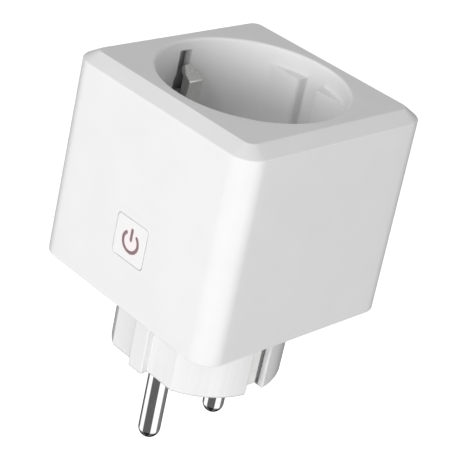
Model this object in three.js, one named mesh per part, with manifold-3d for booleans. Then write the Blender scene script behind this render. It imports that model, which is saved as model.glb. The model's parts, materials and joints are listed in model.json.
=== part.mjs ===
// Smart plug with an earthed side-contact plug and outlet.
// Millimetres, +Z from the wall to the outlet opening.
// The origin is the centre of the housing's wall-side face. The button is on -Y and the pins lie along Y.
import * as THREE from "three";
import { mergeVertices } from "three/addons/utils/BufferGeometryUtils.js";
import Module from "manifold-3d";

const wasm = await Module();
wasm.setup();

// ---- Driving dimensions -------------------------------------------------------------------------

// Housing: a drafted square sleeve whose top edge is bevelled.
const HOUSING_HEIGHT = 45.5;
const HOUSING_BASE = 51.3; // side at the wall face
const HOUSING_TOP = 50.0; // side at the lower edge of the bevel
const HOUSING_CORNER = 4.8;
const BEVEL_INSET = 3.0;
const BEVEL_DROP = 2.0;
const BASE_EDGE = 0.6; // small bevel round the wall face
const WALL = 2.0;
const TOP_PLATE = 2.1;

// Outlet well: round recess for a plug of 39 mm, with guide lands at +-Y and clip slots at +-X.
const WELL_RADIUS = 19.4;
const WELL_DEPTH = 17.5;
const WELL_WALL = 1.8;
const WELL_FLOOR = 1.6;
const RIM_EDGE = 0.35;
const LAND_FACE = 16.3; // distance of each land's face from the axis
const LAND_DROP = 3.9; // top of the lands below the outlet face
const GROOVE_HALF = 2.45;
const SLOT_HALF = 1.75;
const SLOT_HALF_LOW = 2.2; // the slot is wider behind the belly of the clip
const SLOT_STEP_DROP = 8.0;
const SLOT_SILL = 0.3; // the slots end this far above the floor

// Plug: round body with flats and ribs at +-Y, contact notches at +-X, and two round pins.
const PLUG_RADIUS = 18.3;
const PLUG_LENGTH = 18.2;
const PLUG_EDGE = 0.8;
const PLUG_FLAT = 15.75;
const RIB_HALF = 2.1;
const RIB_FACE = 17.6;
const NOTCH_HALF = 2.35;
const NOTCH_FLOOR = 15.6;
const PLUG_END_WALL = 3.0;
const PLUG_BORE = 13.4; // radius of the hollow inside the plug body
const PIN_SPACING = 19.0;
const PIN_RADIUS = 2.4;
const PIN_REACH = 19.5;

// Button on the -Y wall.
const BUTTON_SIDE = 8.8;
const BUTTON_GAP = 0.25;
const BUTTON_CORNER = 0.7;
const BUTTON_Z = 14.8;
const BUTTON_PROUD = 0.1;
const SYMBOL_RADIUS = 2.1; // middle of the ring stroke
const SYMBOL_STROKE = 0.55;
const SYMBOL_BAR_TOP = 2.8;
const SYMBOL_GAP_HALF_ANGLE = (34 * Math.PI) / 180;

// Inside.
const GAP = 0.3; // clearance between neighbouring pieces
const BOARD_BOTTOM = 6.0;
const BOARD_THICK = 1.6;
const BOARD_HALF = 21.4;
const SHEET = 0.6; // thickness of the stamped contacts

// ---- Sizes that follow --------------------------------------------------------------------------

const BEVEL_Z = HOUSING_HEIGHT - BEVEL_DROP;
const PIN_Y = PIN_SPACING / 2;
const WELL_TOP_Z = HOUSING_HEIGHT - TOP_PLATE - GAP / 2;
const FLOOR_Z = HOUSING_HEIGHT - WELL_DEPTH;
const UNDER_FLOOR_Z = FLOOR_Z - WELL_FLOOR;
const WELL_OUTER = WELL_RADIUS + WELL_WALL;
const BOARD_TOP = BOARD_BOTTOM + BOARD_THICK;
const ON_BOARD = BOARD_TOP + 0.25; // underside of the pieces that stand on the board
const SHUTTER_Z = UNDER_FLOOR_Z - GAP - 1.2;
const CARRIER_THICK = 1.7;
const CARRIER_Z = SHUTTER_Z - GAP - CARRIER_THICK;
const PIN_TIP_Z = -PLUG_LENGTH - PIN_REACH;
const BIG = 80; // reach of a cutting solid past the part
const WELL_SEGMENTS = 48;
const ROUNDING = 1e4; // coordinates are kept to a ten-thousandth of a millimetre

// ---- Helpers ------------------------------------------------------------------------------------

// A closed three.js geometry as a solid that can be cut and joined. Coordinates are rounded, so that faces
// meant to lie in one plane do so exactly.
function solid(geometry) {
  const bare = geometry.clone();
  bare.deleteAttribute("normal");
  bare.deleteAttribute("uv");
  const array = bare.attributes.position.array;
  array.forEach((value, i) => {
    array[i] = Math.round(value * ROUNDING) / ROUNDING;
  });
  const merged = mergeVertices(bare, 1e-4);
  return new wasm.Manifold(
    new wasm.Mesh({
      numProp: 3,
      vertProperties: merged.attributes.position.array,
      triVerts: new Uint32Array(merged.index.array),
    }),
  );
}

// A solid back as a three.js geometry.
function geometryOf(body) {
  const mesh = body.getMesh();
  const indexed = new THREE.BufferGeometry();
  indexed.setAttribute("position", new THREE.BufferAttribute(new Float32Array(mesh.vertProperties), 3));
  indexed.setIndex(new THREE.BufferAttribute(new Uint32Array(mesh.triVerts), 1));
  const flat = indexed.toNonIndexed();
  flat.computeVertexNormals();
  return flat;
}

// Box between two corners.
function block(x0, x1, y0, y1, z0, z1) {
  const g = new THREE.BoxGeometry(x1 - x0, y1 - y0, z1 - z0);
  return solid(g.translate((x0 + x1) / 2, (y0 + y1) / 2, (z0 + z1) / 2));
}

// Upright cylinder or cone standing on z0.
function rod(radius, x, y, z0, z1, segments = 24, topRadius = radius) {
  const g = new THREE.CylinderGeometry(topRadius, radius, z1 - z0, segments);
  return solid(g.rotateX(Math.PI / 2).translate(x, y, (z0 + z1) / 2));
}

// Cylinder along Y.
function rodY(radius, x, z, y0, y1, segments = 20) {
  const g = new THREE.CylinderGeometry(radius, radius, y1 - y0, segments);
  return solid(g.translate(x, (y0 + y1) / 2, z));
}

// Turned solid round the Z axis from a profile of [radius, z] pairs listed upwards from the axis to the axis.
function turned(profile, segments) {
  const points = profile.map(([radius, z]) => new THREE.Vector2(radius, z));
  return solid(new THREE.LatheGeometry(points, segments).rotateX(Math.PI / 2));
}

// Upright prism of a shape drawn in XY.
function prism(shape, z0, z1, curveSegments = 8) {
  const g = new THREE.ExtrudeGeometry(shape, { depth: z1 - z0, bevelEnabled: false, curveSegments });
  return solid(g.translate(0, 0, z0));
}

// Prism along Y of a shape drawn in XZ.
function prismY(shape, y0, y1, curveSegments = 8) {
  const g = new THREE.ExtrudeGeometry(shape, { depth: y1 - y0, bevelEnabled: false, curveSegments });
  return solid(g.rotateX(Math.PI / 2).translate(0, y1, 0));
}

// Prism along X of a shape drawn in YZ.
function prismX(shape, x0, x1) {
  const g = new THREE.ExtrudeGeometry(shape, { depth: x1 - x0, bevelEnabled: false });
  const axes = new THREE.Matrix4().makeBasis(
    new THREE.Vector3(0, 1, 0),
    new THREE.Vector3(0, 0, 1),
    new THREE.Vector3(1, 0, 0),
  );
  return solid(g.applyMatrix4(axes).translate(x0, 0, 0));
}

// The two numbers in rising order, as the ends of a block.
const ordered = (a, b) => [Math.min(a, b), Math.max(a, b)];

function polygon(points) {
  return new THREE.Shape(points.map(([a, b]) => new THREE.Vector2(a, b)));
}

function roundedRectangle(width, height, radius, cx = 0, cy = 0) {
  const x = width / 2 - radius;
  const y = height / 2 - radius;
  const s = new THREE.Shape();
  s.absarc(cx + x, cy + y, radius, 0, Math.PI / 2);
  s.absarc(cx - x, cy + y, radius, Math.PI / 2, Math.PI);
  s.absarc(cx - x, cy - y, radius, Math.PI, 1.5 * Math.PI);
  s.absarc(cx + x, cy - y, radius, 1.5 * Math.PI, 2 * Math.PI);
  return s;
}

// The housing's draft: how much wider than at the bevel the sleeve is at a height.
const draftAt = (z) => 1 + ((HOUSING_BASE / HOUSING_TOP - 1) * (BEVEL_Z - z)) / BEVEL_Z;

// Upright rounded-square prism that follows the draft, set in from the outside by `inset`.
function draftedPrism(inset, z0, z1, bevel) {
  const side = HOUSING_TOP - 2 * inset;
  const settings = { depth: z1 - z0, bevelEnabled: false, curveSegments: 6, ...bevel };
  const g = new THREE.ExtrudeGeometry(roundedRectangle(side, side, HOUSING_CORNER - inset * 0.8), settings);
  g.translate(0, 0, z0);
  const p = g.attributes.position;
  for (let i = 0; i < p.count; i += 1) {
    const widen = draftAt(Math.min(p.getZ(i), BEVEL_Z));
    p.setXY(i, p.getX(i) * widen, p.getY(i) * widen);
  }
  return solid(g);
}

const root = new THREE.Group();
root.name = "smart_plug";

// Adds a solid to the model as one named mesh.
function place(name, body, color, roughness, metalness = 0) {
  const material = new THREE.MeshStandardMaterial({ color, roughness, metalness });
  const mesh = new THREE.Mesh(geometryOf(body), material);
  mesh.name = name;
  root.add(mesh);
}

const WHITE = 0xf1f1f0;
const WHITE_SHADE = 0xe6e6e4;
const NICKEL = 0xc9c9c6;
const BRASS = 0xc9a04c;
const COPPER = 0xb8693c;
const STEEL = 0xb4b6b8;
const BOARD_GREEN = 0x1f6a3d;

const SIDES = [
  ["left", -1],
  ["right", 1],
];

// ---- Housing ------------------------------------------------------------------------------------

// The housing's outside as one full block.
function housingBlock() {
  const topped = draftedPrism(0, -10, BEVEL_Z, {
    bevelEnabled: true,
    bevelSegments: 1,
    bevelThickness: BEVEL_DROP,
    bevelSize: BEVEL_INSET,
    bevelOffset: -BEVEL_INSET,
  });
  const based = draftedPrism(0, BASE_EDGE, BIG, {
    bevelEnabled: true,
    bevelSegments: 1,
    bevelThickness: BASE_EDGE,
    bevelSize: BASE_EDGE,
    bevelOffset: -BASE_EDGE,
  });
  return topped.intersect(based);
}

function buttonShape(side, corner) {
  return roundedRectangle(side, side, corner, 0, BUTTON_Z);
}

const housingOutside = housingBlock();

function buildHousing() {
  const cavity = draftedPrism(WALL, -1, HOUSING_HEIGHT - TOP_PLATE);
  const opening = turned(
    [
      [0, HOUSING_HEIGHT - TOP_PLATE - 1],
      [WELL_RADIUS, HOUSING_HEIGHT - TOP_PLATE - 1],
      [WELL_RADIUS, HOUSING_HEIGHT - RIM_EDGE],
      [WELL_RADIUS + RIM_EDGE, HOUSING_HEIGHT],
      [WELL_RADIUS + RIM_EDGE, HOUSING_HEIGHT + 1],
      [0, HOUSING_HEIGHT + 1],
    ],
    WELL_SEGMENTS,
  );
  const window = prismY(buttonShape(BUTTON_SIDE + 2 * BUTTON_GAP, BUTTON_CORNER + BUTTON_GAP), -BIG, -18, 3);
  place("outer_housing", housingOutside.subtract(cavity).subtract(opening).subtract(window), WHITE, 0.35);
}

// ---- Outlet well and the clips in it ------------------------------------------------------------

const BOSS_X = 14.3;
const BOSS_RADIUS = 2.4;
const SCREW_SHANK = 0.85;
const PIN_HOLE = PIN_RADIUS + 0.55;
const FUNNEL_RADIUS = PIN_RADIUS + 1.2; // each pin hole widens like this at the floor
const FUNNEL_DEPTH = 0.7;

function buildWell() {
  let well = rod(WELL_OUTER, 0, 0, UNDER_FLOOR_Z, WELL_TOP_Z, WELL_SEGMENTS);
  well = well.subtract(rod(WELL_RADIUS, 0, 0, FLOOR_Z, BIG, WELL_SEGMENTS));
  const landTop = HOUSING_HEIGHT - LAND_DROP;
  const landSpace = rod(WELL_RADIUS + WELL_WALL / 2, 0, 0, FLOOR_Z - 0.5, landTop, WELL_SEGMENTS);
  for (const x of [-1, 1]) {
    for (const y of [-1, 1]) {
      const inner = ordered(x * GROOVE_HALF, x * BIG);
      const outer = ordered(y * LAND_FACE, y * BIG);
      well = well.add(landSpace.intersect(block(...inner, ...outer, 0, BIG)));
    }
  }
  const stepZ = HOUSING_HEIGHT - SLOT_STEP_DROP;
  for (const [, side] of SIDES) {
    const across = ordered(side * (WELL_RADIUS - 1), side * (WELL_OUTER + 1));
    well = well.subtract(block(...across, -SLOT_HALF, SLOT_HALF, FLOOR_Z + SLOT_SILL, BIG));
    well = well.subtract(block(...across, -SLOT_HALF_LOW, SLOT_HALF_LOW, FLOOR_Z + SLOT_SILL, stepZ));
    const bossBottom = CARRIER_Z + CARRIER_THICK + GAP;
    well = well.add(rod(BOSS_RADIUS, side * BOSS_X, 0, bossBottom, UNDER_FLOOR_Z + 0.1, 16));
    well = well.subtract(rod(SCREW_SHANK + GAP / 2, side * BOSS_X, 0, 0, FLOOR_Z - 0.5, 12));
    well = well.subtract(rod(PIN_HOLE, 0, side * PIN_Y, 0, BIG, 24));
    const funnel = rod(PIN_HOLE, 0, side * PIN_Y, FLOOR_Z - FUNNEL_DEPTH, FLOOR_Z + 0.01, 24, FUNNEL_RADIUS);
    well = well.subtract(funnel);
  }
  place("outlet_well", well, WHITE, 0.4);
}

// Spring clip that touches the earth strip of a plug. It rises from its foot inside the slot, bulges into
// the well and leans back to a narrow tip. Drawn for +X and mirrored.
const CLIP_HALF = 1.85;
const CLIP_TIP_HALF = 0.87;
const CLIP_BELLY_X = 14.95;
const CLIP_BELLY_Z = HOUSING_HEIGHT - 7.35;

function buildEarthClip(name, side) {
  const outline = [
    [20.9, FLOOR_Z + 0.6],
    [20.7, FLOOR_Z + 2.8],
    [15.8, FLOOR_Z + 3.9],
    [15.3, FLOOR_Z + 4.7],
    [CLIP_BELLY_X, CLIP_BELLY_Z - 0.35],
    [CLIP_BELLY_X + 0.25, CLIP_BELLY_Z + 0.2],
    [18.15, CLIP_BELLY_Z + 2.5],
    [18.7, CLIP_BELLY_Z + 1.8],
    [17.0, CLIP_BELLY_Z + 0.3],
    [17.1, FLOOR_Z + 5.2],
    [20.9, FLOOR_Z + 4.2],
    [21.45, FLOOR_Z + 2.9],
    [21.45, FLOOR_Z + 0.6],
  ].map(([x, z]) => [side * x, z]);
  const front = [
    [-CLIP_HALF, FLOOR_Z],
    [CLIP_HALF, FLOOR_Z],
    [CLIP_HALF, CLIP_BELLY_Z + 1.2],
    [CLIP_TIP_HALF, CLIP_BELLY_Z + 2.5],
    [CLIP_TIP_HALF, BIG],
    [-CLIP_TIP_HALF, BIG],
    [-CLIP_TIP_HALF, CLIP_BELLY_Z + 2.5],
    [-CLIP_HALF, CLIP_BELLY_Z + 1.2],
  ];
  const clip = prismY(polygon(outline), -CLIP_HALF - 1, CLIP_HALF + 1);
  place(name, clip.intersect(prismX(polygon(front), -BIG, BIG)), NICKEL, 0.35, 0.8);
}

// ---- Shutter, carrier and outlet contacts -------------------------------------------------------

const SHUTTER_RADIUS = 13.0;
const SHUTTER_HUB = 3.8;
const SHUTTER_HALF_ANGLE = (24 * Math.PI) / 180;
const PIVOT_RADIUS = 1.5;
const SPRING_RADIUS = 5.2;
const SPRING_WIRE = 0.35;
const SPRING_GROOVE = 1.2;

function buildShutter() {
  const z1 = UNDER_FLOOR_Z - GAP;
  let plate = rod(SHUTTER_HUB, 0, 0, SHUTTER_Z, z1, 20);
  for (const [, side] of SIDES) {
    const middle = (side * Math.PI) / 2;
    const blade = new THREE.Shape();
    blade.absarc(0, 0, SHUTTER_RADIUS, middle - SHUTTER_HALF_ANGLE, middle + SHUTTER_HALF_ANGLE);
    blade.lineTo(0, 0);
    plate = plate.add(prism(blade, SHUTTER_Z, z1, 6));
  }
  plate = plate.subtract(rod(PIVOT_RADIUS + GAP, 0, 0, 0, BIG, 16));
  // Peg that the wire spring pulls on; it runs in the groove of the carrier.
  const peg = rod(0.5, 0, SPRING_RADIUS, SHUTTER_Z - GAP - 0.7, SHUTTER_Z + 0.1, 8);
  place("safety_shutter", plate.add(peg), WHITE_SHADE, 0.5);
}

function buildCarrier() {
  const top = CARRIER_Z + CARRIER_THICK;
  let carrier = rod(16.4, 0, 0, CARRIER_Z, top, 32);
  carrier = carrier.add(rod(PIVOT_RADIUS, 0, 0, top - 0.1, UNDER_FLOOR_Z - GAP, 16));
  const groove = rod(SPRING_RADIUS + 0.8, 0, 0, top - SPRING_GROOVE, top + 1, 24);
  carrier = carrier.subtract(groove.subtract(rod(SPRING_RADIUS - 0.8, 0, 0, 0, BIG, 24)));
  for (const [, side] of SIDES) {
    carrier = carrier.subtract(rod(PIN_RADIUS + 0.8, 0, side * PIN_Y, 0, BIG, 20));
    carrier = carrier.subtract(rod(SCREW_SHANK + GAP, side * BOSS_X, 0, 0, BIG, 12));
  }
  place("contact_carrier", carrier, 0xdad9d2, 0.6);
}

// Wire along an arc round the axis, lying in the carrier's groove.
function buildShutterSpring() {
  const z = CARRIER_Z + CARRIER_THICK - SPRING_GROOVE / 2;
  const start = (118 * Math.PI) / 180;
  const sweep = (235 * Math.PI) / 180;
  const steps = 14;
  const points = Array.from({ length: steps + 1 }, (_, i) => {
    const a = start + (sweep * i) / steps;
    return new THREE.Vector3(SPRING_RADIUS * Math.cos(a), SPRING_RADIUS * Math.sin(a), z);
  });
  const wire = new THREE.Shape();
  wire.absarc(0, 0, SPRING_WIRE, 0, 2 * Math.PI);
  const path = new THREE.CatmullRomCurve3(points);
  const settings = { steps: 18, extrudePath: path, curveSegments: 3, bevelEnabled: false };
  place("shutter_spring", solid(new THREE.ExtrudeGeometry(wire, settings)), STEEL, 0.35, 0.9);
}

// Sheet-metal fork that grips an entering pin from both sides, with a leg down to the board.
const FORK_TOP = CARRIER_Z - GAP;
const FORK_LOW = 13.0;
const FORK_HALF = 3.1;
const FORK_BACK = 13.0;

function buildOutletContact(name, side) {
  const alongY = (near, far) => ordered(side * near, side * far);
  const back = block(-FORK_HALF, FORK_HALF, ...alongY(FORK_BACK, FORK_BACK + SHEET), FORK_LOW, FORK_TOP);
  const leg = block(-1.5, 1.5, ...alongY(FORK_BACK, FORK_BACK + SHEET), ON_BOARD, FORK_LOW + 1);
  let fork = back.add(leg);
  for (const x of [-1, 1]) {
    const leaf = ordered(x * (FORK_HALF - SHEET), x * FORK_HALF);
    fork = fork.add(block(...leaf, ...alongY(6.4, FORK_BACK + SHEET), FORK_LOW, FORK_TOP));
    // Rib that presses on the pin.
    fork = fork.add(rod(0.5, x * (FORK_HALF - SHEET + 0.2), side * PIN_Y, FORK_LOW + 2, FORK_TOP - 2, 8));
  }
  place(name, fork, BRASS, 0.35, 0.9);
}

// Pan-head screw pointing up (+1) or down (-1) from the seat of its head.
function buildScrew(name, x, y, seat, length, direction) {
  const headThick = 1.2;
  const span = (a, b) => ordered(seat + direction * a, seat + direction * b);
  let screw = rod(SCREW_SHANK, x, y, ...span(-0.1, length), 12);
  screw = screw.add(rod(1.8, x, y, ...span(-headThick, 0), 16));
  const slot = span(-headThick - 1, -headThick + 0.5);
  screw = screw.subtract(block(x - 1.2, x + 1.2, y - 0.25, y + 0.25, ...slot));
  screw = screw.subtract(block(x - 0.25, x + 0.25, y - 1.2, y + 1.2, ...slot));
  place(name, screw, STEEL, 0.35, 0.9);
}

// ---- Plug ---------------------------------------------------------------------------------------

// Outline of the plug body: a circle with flats and ribs at +-Y and contact notches at +-X.
function plugOutline() {
  const notchAngle = Math.asin(NOTCH_HALF / PLUG_RADIUS);
  const flatAngle = Math.asin(PLUG_FLAT / PLUG_RADIUS);
  const s = new THREE.Shape();
  s.absarc(0, 0, PLUG_RADIUS, notchAngle, flatAngle);
  s.lineTo(RIB_HALF, PLUG_FLAT);
  s.lineTo(RIB_HALF, RIB_FACE);
  s.lineTo(-RIB_HALF, RIB_FACE);
  s.lineTo(-RIB_HALF, PLUG_FLAT);
  s.absarc(0, 0, PLUG_RADIUS, Math.PI - flatAngle, Math.PI - notchAngle);
  s.lineTo(-NOTCH_FLOOR, NOTCH_HALF);
  s.lineTo(-NOTCH_FLOOR, -NOTCH_HALF);
  s.absarc(0, 0, PLUG_RADIUS, Math.PI + notchAngle, Math.PI + flatAngle);
  s.lineTo(-RIB_HALF, -PLUG_FLAT);
  s.lineTo(-RIB_HALF, -RIB_FACE);
  s.lineTo(RIB_HALF, -RIB_FACE);
  s.lineTo(RIB_HALF, -PLUG_FLAT);
  s.absarc(0, 0, PLUG_RADIUS, -flatAngle, -notchAngle);
  s.lineTo(NOTCH_FLOOR, -NOTCH_HALF);
  s.lineTo(NOTCH_FLOOR, NOTCH_HALF);
  return s;
}

const BASE_THICK = 2.3;
const POST_AT = 18.0;
const POST_TOP = BOARD_BOTTOM - GAP;
const BLADE_X = 15.9; // inner face of the plug's earth strip
const BLADE_HALF = 1.6;
const BLADE_END = -PLUG_LENGTH + 1.0;
const HOOK_X = 14.5; // how far in the strip's end hooks into its pocket

// The two posts with screws stand on one diagonal, the two with locating pegs on the other.
const SCREW_POSTS = [
  [POST_AT, -POST_AT],
  [-POST_AT, POST_AT],
];
const PEG_POSTS = [
  [POST_AT, POST_AT],
  [-POST_AT, -POST_AT],
];

function buildPlugBase() {
  let base = draftedPrism(WALL + GAP, 0, BASE_THICK);
  const settings = {
    depth: PLUG_LENGTH - PLUG_EDGE + 0.4,
    curveSegments: 8,
    bevelEnabled: true,
    bevelSegments: 2,
    bevelThickness: PLUG_EDGE,
    bevelSize: PLUG_EDGE,
    bevelOffset: -PLUG_EDGE,
  };
  const body = new THREE.ExtrudeGeometry(plugOutline(), settings);
  base = base.add(solid(body.translate(0, 0, PLUG_EDGE - PLUG_LENGTH)));
  base = base.subtract(rod(PLUG_BORE, 0, 0, -PLUG_LENGTH + PLUG_END_WALL, BIG, 32));
  for (const [, side] of SIDES) {
    const slot = ordered(side * NOTCH_FLOOR, side * (BLADE_X + SHEET + GAP));
    base = base.subtract(block(...slot, -NOTCH_HALF, NOTCH_HALF, -1, BIG));
    const pocket = ordered(side * (HOOK_X - GAP), side * (NOTCH_FLOOR + 0.1));
    base = base.subtract(block(...pocket, -1.3, 1.3, BLADE_END + 0.1, BLADE_END + 1.3));
    base = base.subtract(rod(PIN_RADIUS + 0.2, 0, side * PIN_Y, -BIG, 0, 28));
  }
  for (const [x, y] of [...SCREW_POSTS, ...PEG_POSTS]) {
    base = base.add(rod(2.5, x, y, BASE_THICK - 0.1, POST_TOP, 16));
  }
  for (const [x, y] of SCREW_POSTS) {
    base = base.subtract(rod(SCREW_SHANK + GAP / 2, x, y, 1.0, BIG, 12));
  }
  for (const [x, y] of PEG_POSTS) {
    base = base.add(rod(0.9, x, y, POST_TOP - 0.1, BOARD_TOP + 0.6, 12));
  }
  place("plug_base", base, WHITE, 0.4);
}

// Solid pin with a round tip, a shoulder that rests on the end wall, and a tail through the board.
function buildPin(name, side) {
  const tip = Array.from({ length: 6 }, (_, i) => {
    const a = (i / 6) * (Math.PI / 2);
    return [PIN_RADIUS * Math.sin(a), PIN_TIP_Z + PIN_RADIUS * (1 - Math.cos(a))];
  });
  const shoulderZ = -PLUG_LENGTH + PLUG_END_WALL + GAP;
  const profile = [
    ...tip,
    [PIN_RADIUS, PIN_TIP_Z + PIN_RADIUS],
    [PIN_RADIUS, shoulderZ],
    [3.4, shoulderZ],
    [3.4, shoulderZ + 1.3],
    [1.9, shoulderZ + 1.3],
    [1.9, 3.0],
    [1.2, 3.0],
    [1.2, BOARD_TOP + 0.75],
    [0, BOARD_TOP + 0.75],
  ];
  place(name, turned(profile, 24).translate([0, side * PIN_Y, 0]), NICKEL, 0.15, 1);
}

// One stamping: the strip in the plug's notch, a shelf under the board and a riser behind the well.
const SHELF_Z = 3.4;
const SHELF_HALF = 3.0;
const SHELF_INNER = 12.4;
const RISER_X = 21.7;
const RIVET_X = 13.8;

function buildEarthBracket(name, side) {
  const alongX = (near, far) => ordered(side * near, side * far);
  const shelfTop = SHELF_Z + SHEET;
  const riserTop = FLOOR_Z + 5;
  const riserBack = RISER_X + SHEET;
  let bracket = block(...alongX(BLADE_X, BLADE_X + SHEET), -BLADE_HALF, BLADE_HALF, BLADE_END, shelfTop);
  bracket = bracket.add(block(...alongX(HOOK_X, BLADE_X + 0.1), -1, 1, BLADE_END + 0.4, BLADE_END + 1));
  bracket = bracket.add(block(...alongX(SHELF_INNER, riserBack), -SHELF_HALF, SHELF_HALF, SHELF_Z, shelfTop));
  bracket = bracket.add(block(...alongX(RISER_X, riserBack), -SHELF_HALF, SHELF_HALF, SHELF_Z, riserTop));
  bracket = bracket.subtract(rod(1.1, side * RIVET_X, 0, 0, BOARD_BOTTOM, 12));
  place(name, bracket, NICKEL, 0.3, 0.9);
}

function buildEarthBridge() {
  const z = SHELF_Z + SHEET + 0.25;
  let bridge = block(-RIVET_X - 1.5, RIVET_X + 1.5, -2.2, 2.2, z, z + SHEET);
  for (const [name, side] of SIDES) {
    bridge = bridge.subtract(rod(1.1, side * RIVET_X, 0, 0, BOARD_BOTTOM, 12));
    let rivet = rod(0.8, side * RIVET_X, 0, SHELF_Z - 0.5, z + SHEET + 0.5, 10);
    rivet = rivet.add(rod(1.6, side * RIVET_X, 0, SHELF_Z - 0.8, SHELF_Z - 0.25, 12));
    rivet = rivet.add(rod(1.6, side * RIVET_X, 0, z + SHEET + 0.25, z + SHEET + 0.75, 12));
    place("bridge_rivet_" + name, rivet, NICKEL, 0.4, 0.8);
  }
  place("earth_bridge", bridge, COPPER, 0.35, 0.9);
}

// ---- Power button -------------------------------------------------------------------------------

const SKIN_BACK_Y = -24.3; // back of the button's front skin
const FLANGE_Y = -23.1;
const CAP_BACK_Y = -22.4;
const SYMBOL_Z = BUTTON_Z - 0.4; // centre of the ring

// Power symbol: a ring open at the top and a bar in the opening, each stroke widened by `extra` all round.
function powerSymbol(extra, y0, y1) {
  const half = SYMBOL_STROKE / 2 + extra;
  const opening = SYMBOL_GAP_HALF_ANGLE - extra / SYMBOL_RADIUS;
  const ring = new THREE.Shape();
  const a0 = Math.PI / 2 + opening;
  const a1 = Math.PI / 2 - opening + 2 * Math.PI;
  ring.absarc(0, SYMBOL_Z, SYMBOL_RADIUS + half, a0, a1, false);
  ring.absarc(0, SYMBOL_Z, SYMBOL_RADIUS - half, a1, a0, true);
  const top = SYMBOL_Z + SYMBOL_BAR_TOP + extra;
  return prismY(ring, y0, y1, 24).add(block(-half, half, y0, y1, SYMBOL_Z + 0.1 - extra, top));
}

function buildButton() {
  const outside = housingOutside.translate([0, -BUTTON_PROUD, 0]);
  let cap = prismY(buttonShape(BUTTON_SIDE, BUTTON_CORNER), -BIG, CAP_BACK_Y, 3).intersect(outside);
  cap = cap.add(prismY(buttonShape(BUTTON_SIDE + 1.8, BUTTON_CORNER + 0.9), FLANGE_Y, CAP_BACK_Y, 3));
  const hollow = BUTTON_SIDE / 2 - 0.8;
  cap = cap.subtract(block(-hollow, hollow, SKIN_BACK_Y, 0, BUTTON_Z - hollow, BUTTON_Z + hollow));
  cap = cap.subtract(powerSymbol(0.15, -BIG, SKIN_BACK_Y + 0.1));
  place("power_button", cap, 0xf6f6f6, 0.25);

  const inset = hollow - 0.2;
  const plateFront = SKIN_BACK_Y + 0.2;
  let guide = block(-inset, inset, plateFront, plateFront + 1, BUTTON_Z - inset, BUTTON_Z + inset);
  guide = guide.add(powerSymbol(0, -BIG, plateFront + 0.1).intersect(housingOutside));
  guide = guide.add(rodY(1.3, 0, BUTTON_Z, plateFront + 0.9, -22.0, 12));
  place("light_guide", guide, 0x6e5c60, 0.4);
}

function buildKeySwitch() {
  const boardFront = -17.1;
  const bodyFront = -20.4;
  const keyBoard = block(-8, 8, boardFront, boardFront + 1, ON_BOARD, 21.5);
  place("key_board", keyBoard, BOARD_GREEN, 0.5);
  let body = block(-3.1, 3.1, bodyFront, boardFront - 0.25, BUTTON_Z - 3.1, BUTTON_Z + 3.1);
  body = body.subtract(rodY(2.0, 0, BUTTON_Z, bodyFront - 1, bodyFront + 1.6, 16));
  place("switch_body", body, 0x2a2a2c, 0.5);
  place("switch_plunger", rodY(1.7, 0, BUTTON_Z, -21.7, bodyFront + 0.8, 16), 0x8a2d25, 0.5);
  for (const [name, side] of SIDES) {
    const x = side * 5.2;
    const [lightBack, lightFront] = [boardFront - 1.1, boardFront - 0.25];
    const light = block(x - 0.8, x + 0.8, lightBack, lightFront, BUTTON_Z - 0.6, BUTTON_Z + 0.6);
    place("status_light_" + name, light, 0xf0efe2, 0.3);
  }
}

// ---- Boards and their pieces --------------------------------------------------------------------

function buildMainBoard() {
  let board = prism(roundedRectangle(2 * BOARD_HALF - 0.4, 2 * BOARD_HALF, 1.5), BOARD_BOTTOM, BOARD_TOP, 3);
  for (const [, side] of SIDES) {
    board = board.subtract(rod(1.7, 0, side * PIN_Y, 0, BIG, 16));
  }
  for (const [x, y] of [...SCREW_POSTS, ...PEG_POSTS]) {
    board = board.subtract(rod(1.25, x, y, 0, BIG, 12));
  }
  place("main_board", board, BOARD_GREEN, 0.5);
  const first = SCREW_POSTS[0];
  const second = SCREW_POSTS[1];
  buildScrew("board_screw_right", ...first, BOARD_TOP + GAP, 5.6, -1);
  buildScrew("board_screw_left", ...second, BOARD_TOP + GAP, 5.6, -1);
}

// Flat bar on the board, from the tail of a plug pin.
function buildBusbars() {
  const z1 = ON_BOARD + SHEET;
  const line = block(-2.4, 6.2, -PIN_Y - 2.2, -PIN_Y + 2.0, ON_BOARD, z1).add(
    block(3.9, 6.2, -PIN_Y - 2.2, 2.0, ON_BOARD, z1),
  );
  place("line_busbar", line.subtract(rod(1.5, 0, -PIN_Y, 0, BIG, 12)), COPPER, 0.35, 0.9);
  const neutral = block(-2.4, 2.4, PIN_Y - 2.2, FORK_BACK - GAP, ON_BOARD, z1);
  place("neutral_busbar", neutral.subtract(rod(1.5, 0, PIN_Y, 0, BIG, 12)), COPPER, 0.35, 0.9);
}

// Block with a bevelled top, such as a moulded case.
function moulded(x0, x1, y0, y1, z0, z1, edge) {
  const shape = roundedRectangle(x1 - x0, y1 - y0, edge, (x0 + x1) / 2, (y0 + y1) / 2);
  const settings = {
    depth: z1 - z0 - 2 * edge,
    curveSegments: 2,
    bevelEnabled: true,
    bevelSegments: 1,
    bevelThickness: edge,
    bevelSize: edge * 0.8,
    bevelOffset: -edge * 0.8,
  };
  return solid(new THREE.ExtrudeGeometry(shape, settings).translate(0, 0, z0 + edge));
}

// Chip with rows of gull-wing legs at +-Y.
function chip(cx, cy, length, width, legs) {
  const z0 = ON_BOARD;
  let body = block(cx - length / 2, cx + length / 2, cy - width / 2, cy + width / 2, z0 + 0.1, z0 + 1.5);
  for (let i = 0; i < legs; i += 1) {
    const x = cx + (i - (legs - 1) / 2) * 1.27;
    body = body.add(block(x - 0.2, x + 0.2, cy - width / 2 - 1, cy + width / 2 + 1, z0, z0 + 0.3));
  }
  return body;
}

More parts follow.
